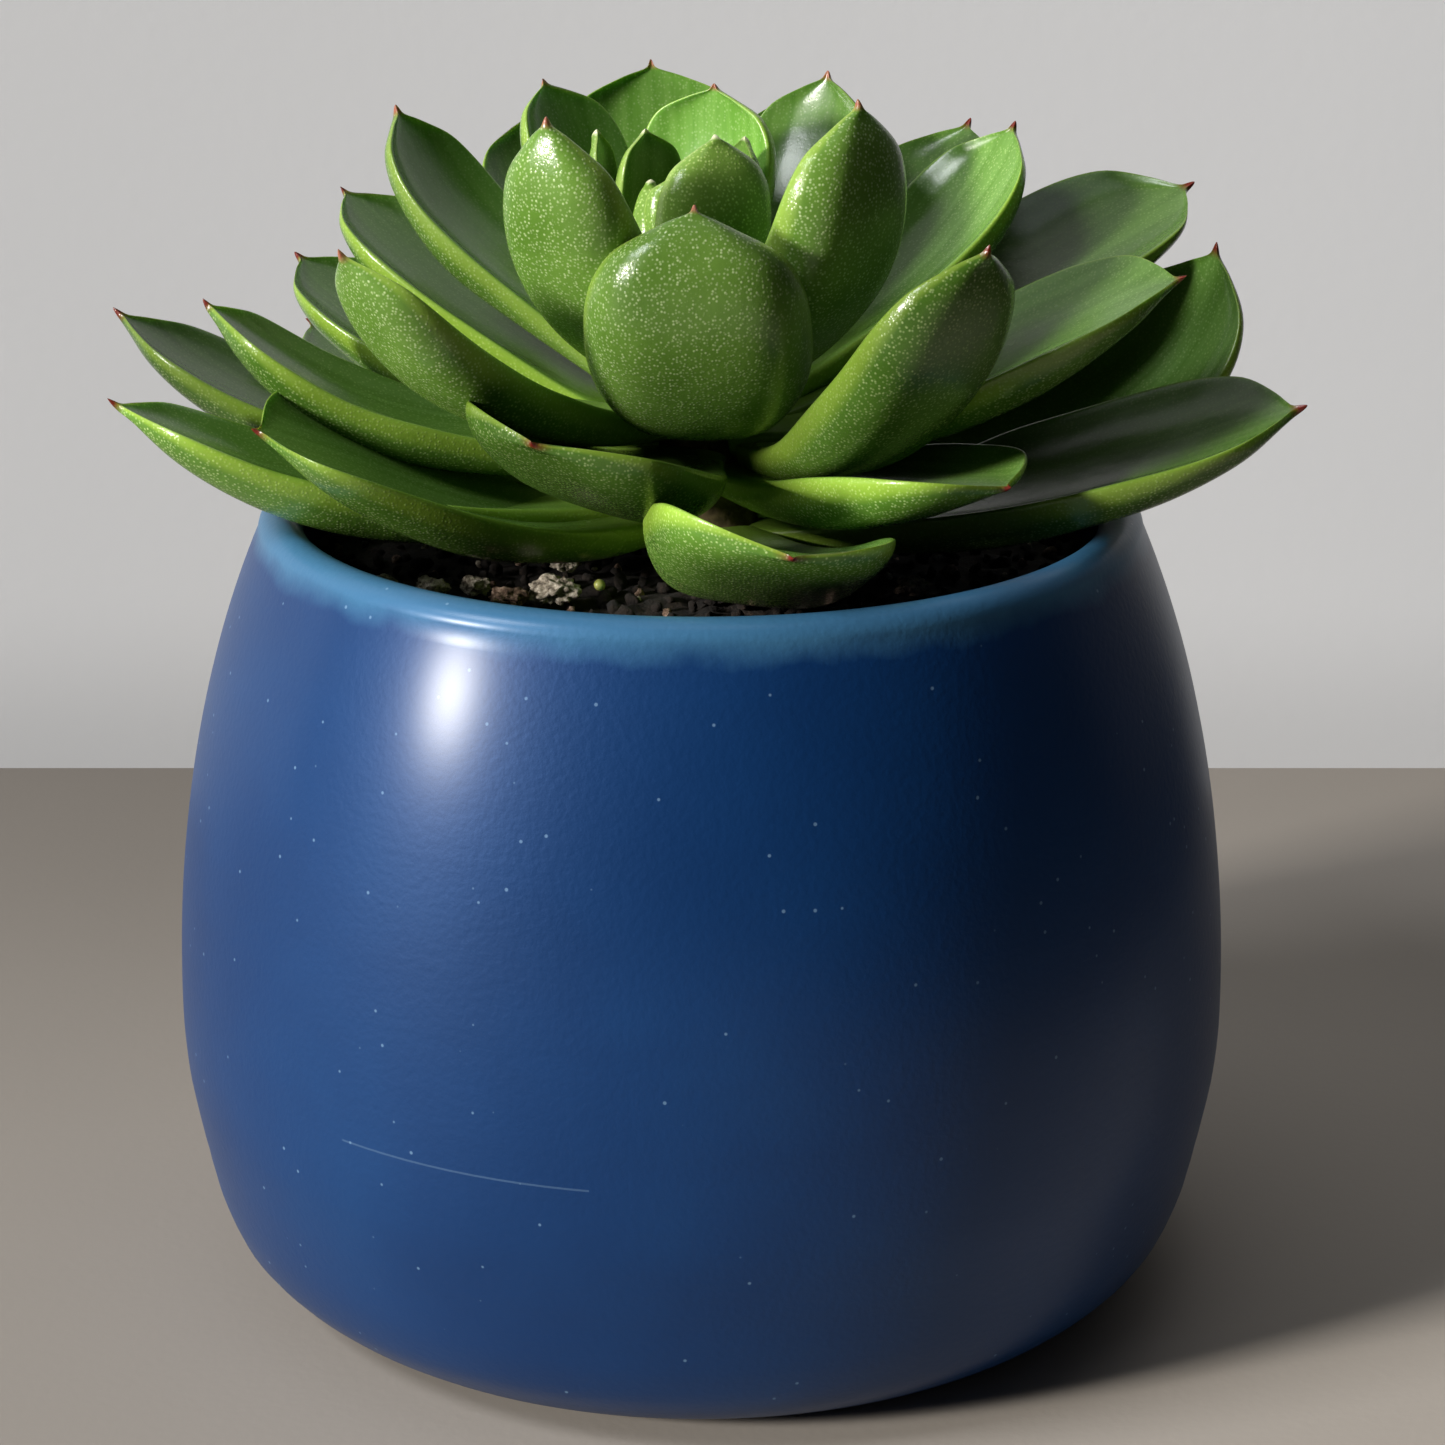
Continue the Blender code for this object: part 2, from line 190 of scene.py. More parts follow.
def stage_material(name, low, high, grain, *painted_shades):
    """Matt paint: two close tones in soft clouds with a fine grain, darkened by painted shade towards some sides.
    """
    made, tree, shader = new_material(name, Roughness=0.75)
    shader.inputs["Specular IOR Level"].default_value = 0.2
    place = add_node(tree, "TexCoord").outputs["Object"]
    clouds = add_node(tree, "TexNoise", Vector=place, Scale=6.0, Detail=3.0).outputs[0]
    paint = ramp(tree, clouds, (0.3, low), (0.7, high))
    # Each of these multiplies in painted shade: the paint is darkened towards a side where less light falls.
    for one_painted_shade in painted_shades:
        grey = painted_shade_ramp(tree, place, *one_painted_shade)
        grey = add_node(tree, "CombineColor", i0=grey, i1=grey, i2=grey).outputs[0]
        paint = mix_colour(tree, 1.0, paint, grey, "MULTIPLY")
    tree.links.new(paint, shader.inputs["Base Color"])
    fine = add_node(tree, "TexNoise", Vector=place, Scale=1 / (grain * MM), Detail=2.0).outputs[0]
    bump = add_node(tree, "Bump", Height=fine, Strength=0.12, Distance=0.2 * MM)
    tree.links.new(bump.outputs[0], shader.inputs["Normal"])
    return made


def stage_sheet(name, corners, material):
    bm = bmesh.new()
    bm.faces.new([bm.verts.new(corner) for corner in corners])
    mesh = bpy.data.meshes.new(name)
    bm.to_mesh(mesh)
    bm.free()
    mesh.materials.append(material)
    sheet = bpy.data.objects.new(name, mesh)
    bpy.context.scene.collection.objects.link(sheet)
    sheet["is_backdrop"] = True


# Painted shade on the table: darker towards the wall, darker to the left, and nearly black far to the right.
table_paint_and_shade = stage_material(
    "matt_board_with_painted_shade", "#b1a99f", "#b6aea4", 1.2, (1, -60 * MM, TABLE_DEPTH, 0.58),
    (0, 60 * MM, -90 * MM, 0.68), (0, 130 * MM, 260 * MM, 0.1)
)
# Painted shade on the wall: darker at the bottom, darker to the left, and darker far to the right.
wall_paint_and_shade = stage_material(
    "matt_wall_with_painted_shade", "#d3d5d8", "#d6d8db", 2.0, (2, 32 * MM, 0, 0.8), (0, 150 * MM, -150 * MM, 0.74),
    (0, 130 * MM, 260 * MM, 0.25)
)
back, near, side, high = TABLE_DEPTH, -0.9, 0.9, 0.9
stage_sheet("table", [(-side, near, 0), (side, near, 0), (side, back, 0), (-side, back, 0)], table_paint_and_shade)
stage_sheet("wall", [(-side, back, 0), (side, back, 0), (side, back, high), (-side, back, high)], wall_paint_and_shade)
print("camera and stage set")

# %% [markdown]
# ## The light
# Window light comes in from the left, a little from the front and not much above the plant. It is
# small enough to leave a bright spot on the pot's shoulder and to let the right side fall into deep
# shade. A weak broad light from above opens the shadows, and the world gives a little all round.

# %% Lights
def area_light(name, place, target, size, power, tint):
    data = bpy.data.lights.new(name, "AREA")
    data.size = size
    data.energy = power
    data.color = linear(tint)[:3]
    light = bpy.data.objects.new(name, data)
    light.location = place
    light.rotation_euler = (Vector(target) - Vector(place)).to_track_quat("-Z", "Y").to_euler()
    bpy.context.scene.collection.objects.link(light)


area_light("window", (-2.08, -1.16, 0.80), (0, 0, 0.07), 0.34, 86, "#fffaf3")
area_light("upper_window", (-1.4, -0.62, 1.6), (0, 0, 0.07), 0.55, 23, "#f8faff")
area_light("skylight", (0.0, -0.1, 1.1), (0, 0.05, 0), 0.4, 0.6, "#f4f7ff")
world = bpy.data.worlds.new("room")
world.use_nodes = True
world.node_tree.nodes["Background"].inputs["Color"].default_value = linear("#e6eaf0")
world.node_tree.nodes["Background"].inputs["Strength"].default_value = 0.015
bpy.context.scene.world = world
bpy.context.scene.view_settings.view_transform = "Standard"
print("lights set")

# %% [markdown]
# ## The pot's glaze
# The pot is stoneware with a satin-matt blue glaze. The glaze dried with a fine orange-peel grain,
# the wheel left faint level bands, and the glaze ran thin on the lip, where it is paler and greener;
# that pale lip band is also a painted highlight along the lip, the same all the way round.
# Tiny pale specks are grit in the glaze. All of this is drawn by position, since the pot has no seam.

# %% Satin-matt glazed stoneware
def glazed_stoneware():
    # Satin glaze: a broad soft highlight with a bright core, over a colour that hardly varies.
    made, tree, shader = new_material(
        "satin_glazed_stoneware", IOR=1.45, Specular_Tint=linear("#8ab6ff"), Coat_Weight=0.34,
        Coat_Roughness=0.26, Coat_IOR=1.5
    )
    place = add_node(tree, "TexCoord").outputs["Object"]
    height = add_node(tree, "SeparateXYZ", Vector=place).outputs[2]
    clouds = add_node(tree, "TexNoise", Vector=place, Scale=1 / (28 * MM), Detail=4.0).outputs[0]
    base = ramp(tree, clouds, (0.32, "#072c59"), (0.55, "#093160"), (0.75, "#0c3767"))
    # Level bands from the wheel, about 3 mm apart, stretched far along the wall.
    flattened = add_node(tree, "Mapping", Vector=place, Scale=(6.0, 6.0, 330.0)).outputs[0]
    bands = add_node(tree, "TexNoise", Vector=flattened, Scale=1.0, Detail=3.0).outputs[0]
    base = mix_colour(tree, math_node(tree, "MULTIPLY", bands, 0.35), base, "#0a2c57")
    # Thin glaze on the lip, breaking off unevenly 2 to 4 mm below the top, paler partly from thin glaze and partly
    # as a painted highlight.
    ragged = add_node(tree, "TexNoise", Vector=place, Scale=1 / (6 * MM), Detail=5.0).outputs[0]
    edge = math_node(tree, "ADD", height, math_node(tree, "MULTIPLY", ragged, 3 * MM))
    lip_paleness_and_sheen = ramp(tree, math_node(tree, "MULTIPLY", edge, 1 / (100 * MM)), (0.868, 0.0), (0.893, 1.0))
    base = mix_colour(tree, math_node(tree, "MULTIPLY", lip_paleness_and_sheen, 0.7), base, "#42779a")
    # Grit: sparse specks 0.3 mm across.
    grit = add_node(tree, "TexVoronoi", Vector=place, Scale=1 / (3.2 * MM)).outputs["Distance"]
    speck = ramp(tree, grit, (0.045, 1.0), (0.07, 0.0))
    base = mix_colour(tree, math_node(tree, "MULTIPLY", speck, 0.45), base, "#7fa3c4")
    # A pale rub mark, a hair's breadth high, where the pot is widest and most easily scraped.
    parts = add_node(tree, "SeparateXYZ", Vector=place).outputs
    near = dict(operation="COMPARE")
    rubbed = add_node(tree, "Math", near, i0=height, i1=33.1 * MM, i2=0.11 * MM).outputs[0]
    middle = add_node(tree, "Math", near, i0=parts[0], i1=-24 * MM, i2=13 * MM).outputs[0]
    front = math_node(tree, "LESS_THAN", parts[1], 0.0)
    rubbed = math_node(tree, "MULTIPLY", math_node(tree, "MULTIPLY", rubbed, middle), front)
    rubbed = math_node(tree, "MULTIPLY", rubbed, math_node(tree, "MULTIPLY", bands, 0.26))
    base = mix_colour(tree, rubbed, base, "#8fb2cf")
    tree.links.new(base, shader.inputs["Base Color"])
    # Orange peel: soft bumps 0.6 mm apart, with a finer tooth on them.
    peel = add_node(tree, "TexNoise", Vector=place, Scale=1 / (0.8 * MM), Detail=2.0).outputs[0]
    bump = add_node(tree, "Bump", Height=peel, Strength=0.8, Distance=0.055 * MM)
    rings = add_node(tree, "Bump", Height=bands, Strength=0.35, Distance=0.12 * MM, Normal=bump.outputs[0])
    tree.links.new(rings.outputs[0], shader.inputs["Normal"])
    gloss = add_node(tree, "MapRange", Value=clouds, To_Min=0.47, To_Max=0.53).outputs[0]
    tree.links.new(gloss, shader.inputs["Roughness"])
    return made


GLAZE = glazed_stoneware()

# %% [markdown]
# ## The pot
# A thrown pot is a half outline turned about an axis, so one outline is drawn up the outside, over the
# rounded lip and down the inside, and spun all the way round. The wall follows two ellipses that meet
# at its widest place. A slow wobble of a tenth of a millimetre keeps it from looking machined.

# %% Turn the pot
POT_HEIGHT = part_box("pot")[1][2]
POT_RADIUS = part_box("pot")[1][0]
POT_WIDEST_AT = 31.5 * MM
POT_UPPER_REACH = 96.5 * MM
POT_LOWER_REACH = 61 * MM
POT_WALL = 5 * MM
POT_FLOOR = 7 * MM
POT_FOOT_ROUNDING = 15 * MM
POT_HOLLOW_ROUNDING = 10 * MM
POT_STEPS = 144


def pot_radius(height):
    reach = POT_UPPER_REACH if height > POT_WIDEST_AT else POT_LOWER_REACH
    return POT_RADIUS * math.sqrt(1 - ((height - POT_WIDEST_AT) / reach) ** 2)


def spun(outline, steps):
    """A closed body turned about Z from an outline of (radius, height) from axis to axis."""
    bm = bmesh.new()
    verts = [bm.verts.new((radius, 0, height)) for radius, height in outline]
    edges = [bm.edges.new(pair) for pair in zip(verts, verts[1:])]
    bmesh.ops.spin(
        bm, geom=verts + edges, cent=(0, 0, 0), axis=(0, 0, 1), angle=math.tau, steps=steps, use_merge=True
    )
    bmesh.ops.remove_doubles(bm, verts=bm.verts, dist=0.001 * MM)
    return bm


def arc(middle, radius, first, last, count):
    """Points of (radius, height) round a middle, between two angles in quarter turns."""
    turns = [turn * math.pi / 2 for turn in steps_between(first, last, count)]
    return [(middle[0] + radius * math.cos(turn), middle[1] + radius * math.sin(turn)) for turn in turns]


def pot_outline():
    half_wall = POT_WALL / 2
    top = POT_HEIGHT - half_wall
    rounding = POT_FOOT_ROUNDING
    foot = arc((pot_radius(rounding) - rounding, rounding), rounding, -1, 0, 14)
    outside = foot + [(pot_radius(z), z) for z in steps_between(rounding, top, 48)[1:]]
    for _ in range(3):  # eases the turn of the foot into the wall
        middles = [(before[0] + after[0]) / 2 for before, after in zip(outside, outside[2:])]
        for i, middle in enumerate(middles, 1):
            if 8 * MM < outside[i][1] < 24 * MM:
                outside[i] = (middle, outside[i][1])
    lip = arc((pot_radius(top) - half_wall, top), half_wall, 0, 2, 16)[1:]
    rounding = POT_HOLLOW_ROUNDING
    inner_foot = POT_FLOOR + rounding
    inside = [(pot_radius(z) - POT_WALL, z) for z in steps_between(top, inner_foot, 30)[1:]]
    floor = arc((inside[-1][0] - rounding, inner_foot), rounding, 0, -1, 6)[1:]
    return [(0, 0), *outside, *lip, *inside, *floor, (0, POT_FLOOR)]


pot = spun(pot_outline(), POT_STEPS)
for vert in pot.verts:
    wobble = noise.noise(vert.co / (30 * MM)) * 0.12 * MM
    out = Vector((vert.co.x, vert.co.y, 0))
    if out.length > 20 * MM and vert.co.z > POT_FLOOR:
        vert.co += out.normalized() * wobble
finish_piece(pot, "pot_body", GLAZE, ["pot"])
print("pot turned,", round(POT_RADIUS * 2000), "mm across")

# %% [markdown]
# ## The soil
# Potting soil is peat and composted bark: nearly black where it is moist, with dry crumbs that are
# paler. The bed is a turned heap whose top is pushed about by two sizes of noise, and several hundred
# small grains, each a ball of eighty faces squeezed a little, lie half sunk in it.

# %% Peat and crumb materials
def peat():
    # Moist peat: no gloss at all, and a colour that changes from crumb to crumb.
    made, tree, shader = new_material("moist_peat", Roughness=0.95)
    place = add_node(tree, "TexCoord").outputs["Object"]
    grain = add_node(tree, "TexNoise", Vector=place, Scale=1 / (1.6 * MM), Detail=6.0, Roughness=0.7)
    base = ramp(tree, grain.outputs[0], (0.35, "#0b0806"), (0.55, "#1f1711"), (0.72, "#3a2d22"))
    tree.links.new(base, shader.inputs["Base Color"])
    bump = add_node(tree, "Bump", Height=grain.outputs[0], Strength=0.9, Distance=0.8 * MM)
    tree.links.new(bump.outputs[0], shader.inputs["Normal"])
    return made


def dry_crumb(name, dark, middle, pale):
    # Dry composted bark and pumice: dusty, pitted, grey-tan with dark hollows.
    made, tree, shader = new_material(name, Roughness=0.95)
    place = add_node(tree, "TexCoord").outputs["Object"]
    pits = add_node(tree, "TexNoise", Vector=place, Scale=1 / (0.9 * MM), Detail=6.0, Roughness=0.75)
    base = ramp(tree, pits.outputs[0], (0.36, dark), (0.5, middle), (0.64, pale))
    tree.links.new(base, shader.inputs["Base Color"])
    bump = add_node(tree, "Bump", Height=pits.outputs[0], Strength=1.0, Distance=0.5 * MM)
    tree.links.new(bump.outputs[0], shader.inputs["Normal"])
    return made


PEAT = peat()
PALE_CRUMB = dry_crumb("dry_pumice_and_bark", "#3c342a", "#aba08f", "#e4dccd")
BROWN_CRUMB = dry_crumb("brown_bark", "#2a1e16", "#7a6150", "#c2a793")

# %% Heap the soil
SOIL_EDGE = 80.5 * MM
SOIL_MIDDLE = 81.5 * MM
SOIL_RADIUS = pot_radius(SOIL_EDGE) - POT_WALL - 0.3 * MM
SOIL_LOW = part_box("soil")[0][2]


def soil_height(radius):
    return SOIL_EDGE + (SOIL_MIDDLE - SOIL_EDGE) * math.cos(min(radius / SOIL_RADIUS, 1) * math.pi / 2)


side_points = [(pot_radius(z) - POT_WALL - 0.3 * MM, z) for z in steps_between(17 * MM, SOIL_EDGE, 20)]
top_points = [(radius, soil_height(radius)) for radius in steps_between(SOIL_RADIUS, 0, 40)[1:]]
soil = spun([(0, SOIL_LOW), (side_points[0][0] - 8 * MM, SOIL_LOW), *side_points, *top_points], 160)
for vert in soil.verts:
    if vert.co.z > SOIL_EDGE - 0.5 * MM and Vector((vert.co.x, vert.co.y)).length < SOIL_RADIUS - 0.5 * MM:
        lumps = noise.noise(vert.co / (7 * MM)) * 1.1 + noise.noise(vert.co / (2.2 * MM)) * 0.7
        vert.co.z += (lumps - 0.4) * MM
finish_piece(soil, "soil_bed", PEAT, ["soil"])


# %% Scatter the grains
def scattered(count, seed):
    """Even-looking places on the soil: a golden-angle spiral pushed about by noise."""
    for i in range(count):
        radius = SOIL_RADIUS * 0.97 * math.sqrt((i + 0.5) / count)
        turn = i * 2.39996
        push = noise.noise_vector(Vector((i * 0.37, seed, 0)))
        yield radius * math.cos(turn) + push.x * 2 * MM, radius * math.sin(turn) + push.y * 2 * MM, push.z


def grains(name, material, count, seed, smallest, largest):
    bm = bmesh.new()
    for x, y, chance in scattered(count, seed):
        distance = math.hypot(x, y)
        if distance > SOIL_RADIUS - 1.5 * MM:
            continue
        radius = (smallest + (largest - smallest) * abs(chance) ** 1.5) * MM
        made = bmesh.ops.create_icosphere(bm, subdivisions=2, radius=radius)["verts"]
        for vert in made:
            rough = 1 + 0.5 * noise.noise(vert.co / radius * 1.7 + Vector((x, y, seed)) / MM)
            vert.co = Vector((vert.co.x * 1.3, vert.co.y, vert.co.z * 0.8)) * rough
        bmesh.ops.rotate(bm, verts=made, cent=(0, 0, 0), matrix=noise_turn(x, y, seed))
        bmesh.ops.translate(bm, verts=made, vec=(x, y, soil_height(distance) + radius * 0.1))
    return finish_piece(bm, name, material)


def noise_turn(x, y, seed):
    """A rotation that differs from place to place."""
    from mathutils import Euler
    push = noise.noise_vector(Vector((x, y, 0)) / (3 * MM) + Vector((seed, 0, 0)))
    return Euler(push * 6).to_matrix()


grains("soil_grains_dark", PEAT, 520, 11.3, 0.5, 1.9)
grains("soil_grains_brown", BROWN_CRUMB, 90, 4.7, 0.4, 1.3)
grains("soil_grains_pale", PALE_CRUMB, 60, 8.1, 0.3, 1.0)
print("soil heaped and strewn")


# %% Shape the larger crumbs
def large_crumb(node, name, material):
    """A pitted lump the size of its solid: a fine ball pushed in and out by noise."""
    low, high = (Vector(corner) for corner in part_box(node))
    middle, half = (low + high) / 2, (high - low) / 2
    bm = bmesh.new()
    bmesh.ops.create_icosphere(bm, subdivisions=5, radius=1)
    for vert in bm.verts:
        away = vert.co.copy()
        lump = noise.noise(away * 1.4 + middle / MM) * 0.45 + noise.noise(away * 4 + middle / MM) * 0.22
        pits = noise.noise(away * 11 + middle / MM) * 0.08
        size = 0.88 + lump + pits
        vert.co = Vector((away.x * half.x, away.y * half.y, away.z * half.z)) * size + middle
    return finish_piece(bm, name, material, [node])


for number in range(1, 8):
    large_crumb(f"soil_crumb_{number}", f"crumb_{number}", BROWN_CRUMB if number in (4, 7) else PALE_CRUMB)
print("seven crumbs shaped")

# %% [markdown]
# ## The fertiliser bead
# One small resin-coated bead of slow fertiliser lies among the crumbs. It is a plain ball, a little
# uneven, in a waxy yellow-green.

# %% Bead
def resin_coat():
    # Thin resin over salt: waxy and faintly cloudy.
    made, tree, shader = new_material("resin_coated_fertiliser", Roughness=0.35, Subsurface_Weight=0.2)
    place = add_node(tree, "TexCoord").outputs["Object"]
    cloud = add_node(tree, "TexNoise", Vector=place, Scale=1 / (0.8 * MM), Detail=3.0).outputs[0]
    tree.links.new(ramp(tree, cloud, (0.3, "#8f8f3a"), (0.7, "#c3c06a")), shader.inputs["Base Color"])
    return made


bead_low, bead_high = (Vector(corner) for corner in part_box("fertiliser_bead"))
bead = bmesh.new()
bmesh.ops.create_icosphere(bead, subdivisions=4, radius=(bead_high.z - bead_low.z) / 2)
for vert in bead.verts:
    vert.co *= 1 + 0.06 * noise.noise(vert.co / (0.7 * MM))
bmesh.ops.translate(bead, verts=bead.verts, vec=(bead_low + bead_high) / 2)
finish_piece(bead, "bead", resin_coat(), ["fertiliser_bead"])

# %% [markdown]
# ## The stem
# Old leaves leave rings of corky scars on the stem. A cone is cut across into many rings, and every
# ring is swollen or pinched in turn. It leans as the solid stem does.

# %% Stem
STEM_FOOT = Vector((4, 0, 72)) * MM
STEM_TOP = Vector((-3, 1, 112)) * MM


def cork():
    made, tree, shader = new_material("corky_bark", Roughness=0.9)
    place = add_node(tree, "TexCoord").outputs["Object"]
    grain = add_node(tree, "TexNoise", Vector=place, Scale=1 / (1.2 * MM), Detail=5.0).outputs[0]
    tree.links.new(ramp(tree, grain, (0.3, "#33291a"), (0.7, "#6f6040")), shader.inputs["Base Color"])
    bump = add_node(tree, "Bump", Height=grain, Strength=0.6, Distance=0.4 * MM)
    tree.links.new(bump.outputs[0], shader.inputs["Normal"])
    return made


axis = STEM_TOP - STEM_FOOT
stem = bmesh.new()
bmesh.ops.create_cone(stem, cap_ends=True, segments=32, radius1=6.3 * MM, radius2=3.8 * MM, depth=axis.length)
upright = [edge for edge in stem.edges if abs(edge.verts[0].co.z - edge.verts[1].co.z) > 1 * MM]
bmesh.ops.subdivide_edges(stem, edges=upright, cuts=48, use_grid_fill=True)
for vert in stem.verts:
    scar = 1 + 0.04 * math.sin(vert.co.z / (2.2 * MM) * math.tau) + 0.05 * noise.noise(vert.co / (2 * MM))
    vert.co.x *= scar
    vert.co.y *= scar
lean = axis.to_track_quat("Z", "Y").to_matrix()
bmesh.ops.rotate(stem, verts=stem.verts, cent=(0, 0, 0), matrix=lean)
bmesh.ops.translate(stem, verts=stem.verts, vec=(STEM_FOOT + STEM_TOP) / 2)
finish_piece(stem, "stem_cork", cork(), ["stem"])
print("stem made")

# %% [markdown]
# ## The leaves' skin
# A leaf is green flesh under a thin waxy skin. Its underside is sprinkled with fine pale dots, where
# clear cells let the light in, its upper face is darker and smoother with a dull bloom, its margins
# are paler, partly their own colour and partly a painted glow and highlight for light along the thin
# edge, and its point is drawn out and turns red where the sun burns it.
# Each vertex carries where it lies along the leaf, how near it is to a margin, and whether it is
# underneath. The dots are drawn on position, so they keep their size on every leaf.

# %% Leaf skin
def leaf_skin(name, deep, light, dot, upper, bloom, margin_and_glow_colour, foot, point):
    # Waxy skin over watery flesh: a soft gloss, and a little light carried under the skin.
    made, tree, shader = new_material(
        name, Roughness=0.30, IOR=1.45, Subsurface_Weight=0.12, Subsurface_Scale=2.5 * MM
    )
    shader.inputs["Subsurface Radius"].default_value = (0.6, 1.0, 0.25)
    place = add_node(tree, "TexCoord").outputs["Object"]
    along = add_node(tree, "Attribute", dict(attribute_name="along")).outputs["Fac"]
    edge = add_node(tree, "Attribute", dict(attribute_name="edge")).outputs["Fac"]
    under = add_node(tree, "Attribute", dict(attribute_name="under")).outputs["Fac"]
    across = add_node(tree, "Attribute", dict(attribute_name="across")).outputs["Fac"]

    # Slow changes of green over a leaf, about 9 mm across.
    patches = add_node(tree, "TexNoise", Vector=place, Scale=1 / (9 * MM), Detail=3.0).outputs[0]
    ground = ramp(tree, patches, (0.3, deep), (0.7, light))
    # Pale dots 0.25 mm across and 0.45 mm apart, each a little different.
    cells = add_node(tree, "TexVoronoi", Vector=place, Scale=1 / (0.40 * MM), Randomness=0.8)
    dots = ramp(tree, cells.outputs["Distance"], (0.10, 1.0), (0.44, 0.0))
    strength = add_node(tree, "SeparateColor", i0=cells.outputs["Color"]).outputs[0]
    strength = ramp(tree, strength, (0.0, 0.35), (1.0, 0.78))
    dots = math_node(tree, "MULTIPLY", dots, strength)
    below = mix_colour(tree, dots, ground, dot)

    # The upper face, with faint streaks that run along the leaf under a dull bloom.
    lengthwise = add_node(tree, "CombineXYZ", X=across, Y=math_node(tree, "MULTIPLY", along, 1.6)).outputs[0]
    streaks = add_node(tree, "TexNoise", Vector=lengthwise, Scale=0.9, Detail=4.0).outputs[0]
    above = mix_colour(tree, ramp(tree, streaks, (0.35, 0.0), (0.75, 0.6)), upper, bloom)
    above = mix_colour(tree, math_node(tree, "MULTIPLY", dots, 0.3), above, dot)
    skin = mix_colour(tree, under, above, below)

    # Margins, foot and point. The margins' paler colour is partly their own and partly a painted glow and highlight
    # along the thin edge.
    margin_tint_and_glow = math_node(tree, "MULTIPLY", ramp(tree, edge, (0.90, 0.0), (0.998, 1.0)), 0.55)
    skin = mix_colour(tree, margin_tint_and_glow, skin, margin_and_glow_colour)
    pale_foot = math_node(tree, "MULTIPLY", ramp(tree, along, (0.0, 1.0), (0.42, 0.0)), 0.55)
    skin = mix_colour(tree, pale_foot, skin, foot)
    burnt = ramp(tree, along, (0.972, 0.0), (0.988, 1.0))
    # Each leaf's tone value scales the brightness of its colour: a small random change, and on the leaves that list
    # one, painted light or painted shade for how brightly that leaf is lit.
    tone_and_painted_light = add_node(tree, "Attribute", dict(attribute_name="tone_and_painted_light")).outputs["Fac"]
    skin = add_node(tree, "HueSaturation", Value=tone_and_painted_light, Color=skin).outputs[0]
    skin = mix_colour(tree, burnt, skin, point)
    tree.links.new(skin, shader.inputs["Base Color"])

    # The dots stand up a little, and the skin has a finer tooth between them.
    tooth = add_node(tree, "TexNoise", Vector=place, Scale=1 / (0.5 * MM), Detail=2.0).outputs[0]
    relief = math_node(tree, "ADD", math_node(tree, "MULTIPLY", dots, 0.6), math_node(tree, "MULTIPLY", tooth, 0.5))
    relief = math_node(tree, "MULTIPLY", relief, math_node(tree, "ADD", under, 0.25))
    bump = add_node(tree, "Bump", Height=relief, Strength=0.5, Distance=0.09 * MM)
    slow = add_node(tree, "TexNoise", Vector=place, Scale=1 / (3.5 * MM), Detail=2.0).outputs[0]
    wavy = add_node(tree, "Bump", Height=slow, Strength=0.3, Distance=0.25 * MM, Normal=bump.outputs[0])
    tree.links.new(wavy.outputs[0], shader.inputs["Normal"])
    dull = add_node(tree, "MapRange", Value=patches, To_Min=0.2, To_Max=0.31).outputs[0]
    tree.links.new(dull, shader.inputs["Roughness"])
    return made


SKINS = {
    "heart": leaf_skin("young_waxy_leaf", "#668a33", "#7b9c45", "#c2da84", "#5f8534", "#7d9c55",
                       "#a8c468", "#a9c169", "#d8dcb4"),
    "inner": leaf_skin("waxy_leaf", "#54782a", "#6a8f3b", "#c6daa0", "#588530", "#7ea653",
                       "#9dbb4c", "#8fae4a", "#9c5f4c"),
    "outer": leaf_skin("old_waxy_leaf", "#466a20", "#5a8030", "#b8cf8a", "#4d7229", "#6c9148",
                       "#97b53e", "#86a63a", "#6a2118"),
}
